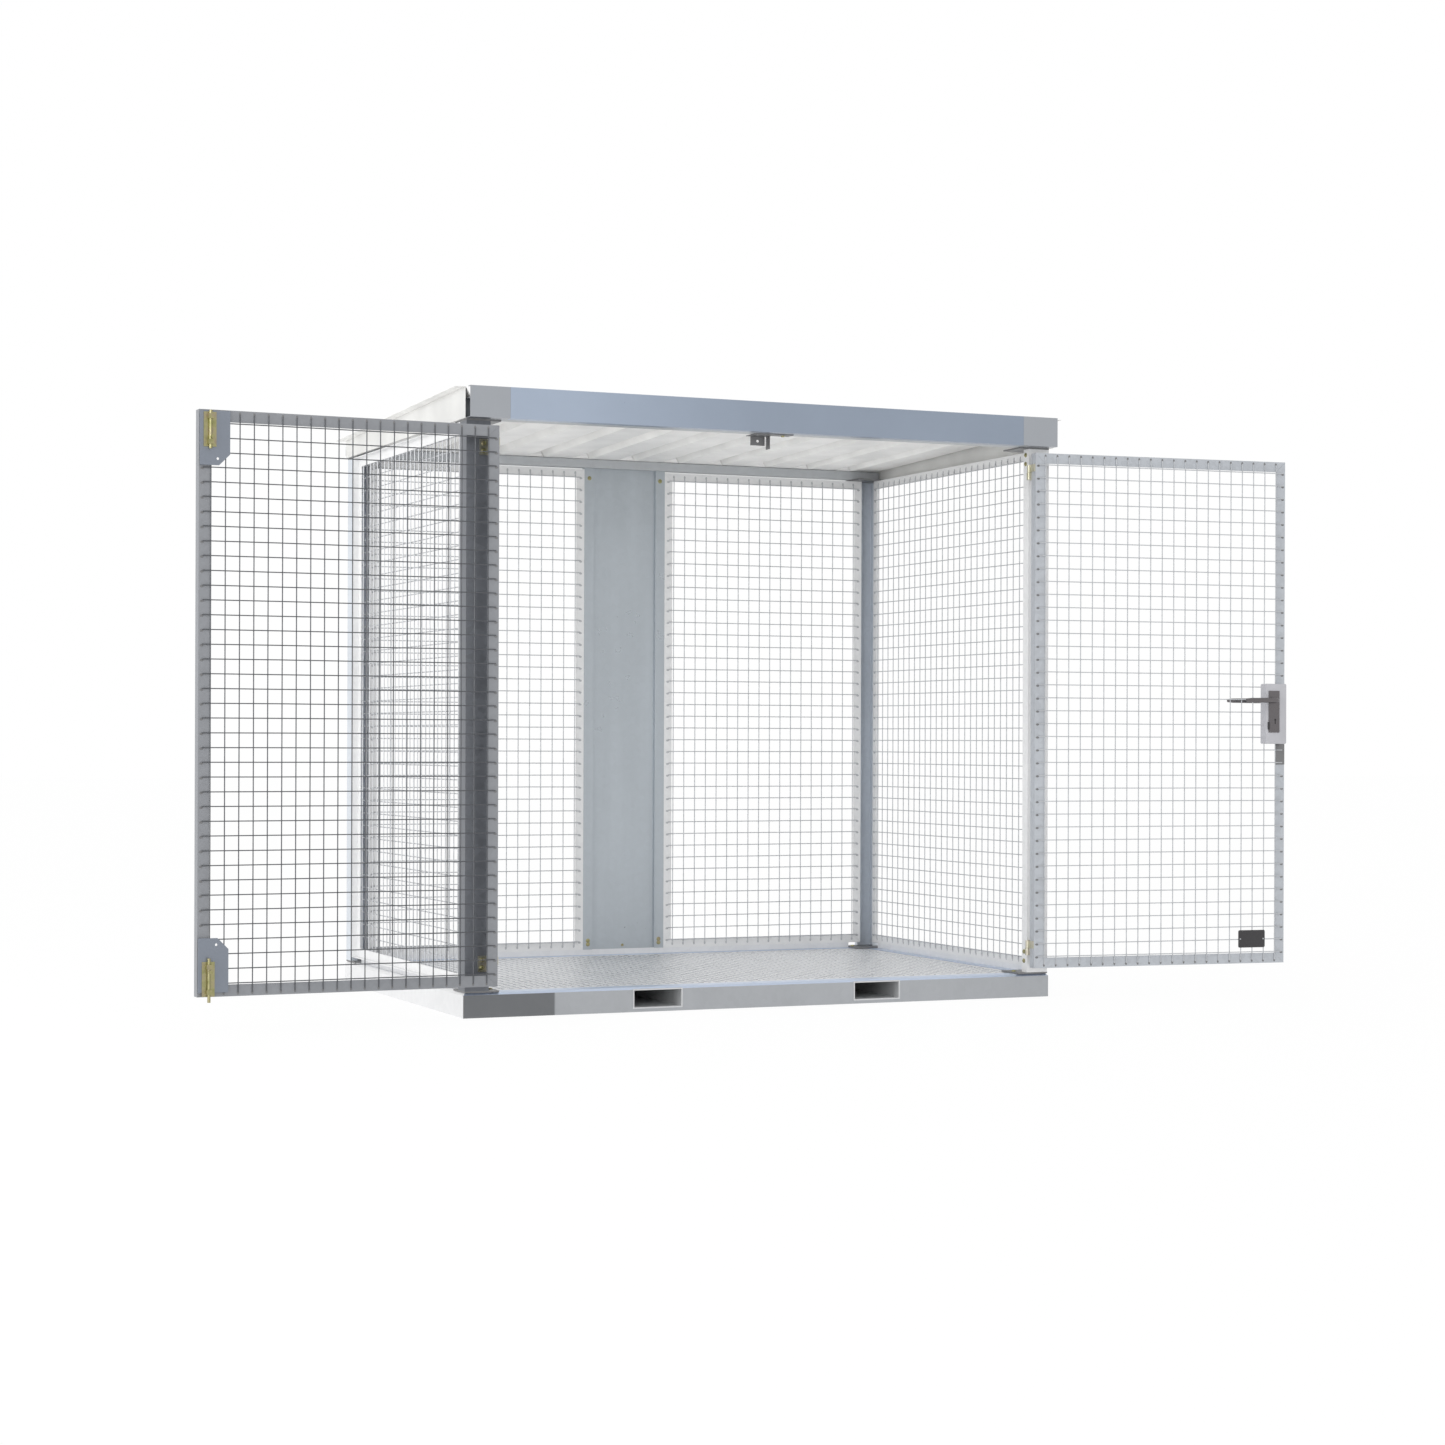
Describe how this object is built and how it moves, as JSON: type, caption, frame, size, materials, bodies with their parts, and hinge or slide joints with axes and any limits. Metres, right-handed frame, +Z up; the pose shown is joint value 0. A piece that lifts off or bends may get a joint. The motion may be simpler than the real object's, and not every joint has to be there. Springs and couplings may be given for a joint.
{
  "type": "gas cylinder cage",
  "caption": "Open-fronted galvanised mesh cage for gas cylinders, with two hinged mesh doors, a steel floor on fork pockets and a sloping ribbed roof.",
  "frame": {"origin": "on the ground, in the middle of the cage's base", "axes": "+X to the right as seen from the doors, +Y to the back, +Z up"},
  "size_m": [4.3464, 1.8554, 2.25],
  "materials": {
    "galvanised_steel": "hot-dip galvanised, dull",
    "white_sheet": "coated, satin",
    "yellow_zinc": "yellow zinc plated",
    "dark_plastic": "moulded, fine grain",
    "charcoal_plate": "coated, matt"
  },
  "bodies": {
    "cage": {"base_front_beam": "galvanised_steel", "base_rear_beam": "galvanised_steel", "base_left_beam": "galvanised_steel", "base_right_beam": "galvanised_steel", "fork_pockets": "galvanised_steel", "floor_joists": "galvanised_steel", "floor_plate": "galvanised_steel", "front_left_post": "galvanised_steel", "front_right_post": "galvanised_steel", "rear_left_post": "galvanised_steel", "rear_right_post": "galvanised_steel", "post_feet": "galvanised_steel", "post_heads": "galvanised_steel", "left_panel_frame": "galvanised_steel", "right_panel_frame": "galvanised_steel", "back_left_panel_frame": "galvanised_steel", "back_right_panel_frame": "galvanised_steel", "left_panel_mesh": "galvanised_steel", "right_panel_mesh": "galvanised_steel", "back_left_panel_mesh": "galvanised_steel", "back_right_panel_mesh": "galvanised_steel", "back_column": "galvanised_steel", "fascia": "galvanised_steel", "fascia_corners": "galvanised_steel", "front_roof_beam": "galvanised_steel", "rear_roof_beam": "galvanised_steel", "roof_side_left": "white_sheet", "roof_side_right": "white_sheet", "roof_sheet": "white_sheet", "rear_gutter": "galvanised_steel", "strike_bracket": "galvanised_steel", "hinge_butts": "yellow_zinc"},
    "left_door": {"left_door_frame": "galvanised_steel", "left_door_mesh": "galvanised_steel", "left_door_hinges": "yellow_zinc", "top_corner_plate": "galvanised_steel", "bottom_corner_plate": "galvanised_steel", "top_bolt_guide": "yellow_zinc", "bottom_bolt_guide": "yellow_zinc"},
    "upper_shoot_bolt": {"top_bolt": "yellow_zinc"},
    "lower_shoot_bolt": {"bottom_bolt": "yellow_zinc"},
    "right_door": {"right_door_frame": "galvanised_steel", "right_door_mesh": "galvanised_steel", "right_door_hinges": "yellow_zinc", "lock_box": "galvanised_steel", "handle_plate": "dark_plastic", "outer_lock_plate": "galvanised_steel", "blank_plate": "charcoal_plate"},
    "handle": {"door_handle": "dark_plastic"}
  },
  "joints": [
    {"name": "left_door_hinge", "type": "hinge", "parent": "cage", "child": "left_door", "pos_m": [-1.091, -0.795, 1.116], "axis": [0, 0, 1], "range_deg": [-2, 178]},
    {"name": "right_door_hinge", "type": "hinge", "parent": "cage", "child": "right_door", "pos_m": [1.091, -0.795, 1.116], "axis": [0, 0, -1], "range_deg": [-5.5, 174.5]},
    {"name": "handle_turn", "type": "hinge", "parent": "right_door", "child": "handle", "pos_m": [2.08979, -0.97556, 1.16], "axis": [-0.0958, -0.9954, 0], "range_deg": [0, 45], "stiffness_Nm_per_rad": 3, "springref_deg": -17.19},
    {"name": "top_bolt_slide", "type": "slide", "parent": "left_door", "child": "upper_shoot_bolt", "axis": [0, 0, 1], "range_m": [0, 0.04]},
    {"name": "bottom_bolt_slide", "type": "slide", "parent": "left_door", "child": "lower_shoot_bolt", "axis": [0, 0, -1], "range_m": [0, 0.04]}
  ]
}
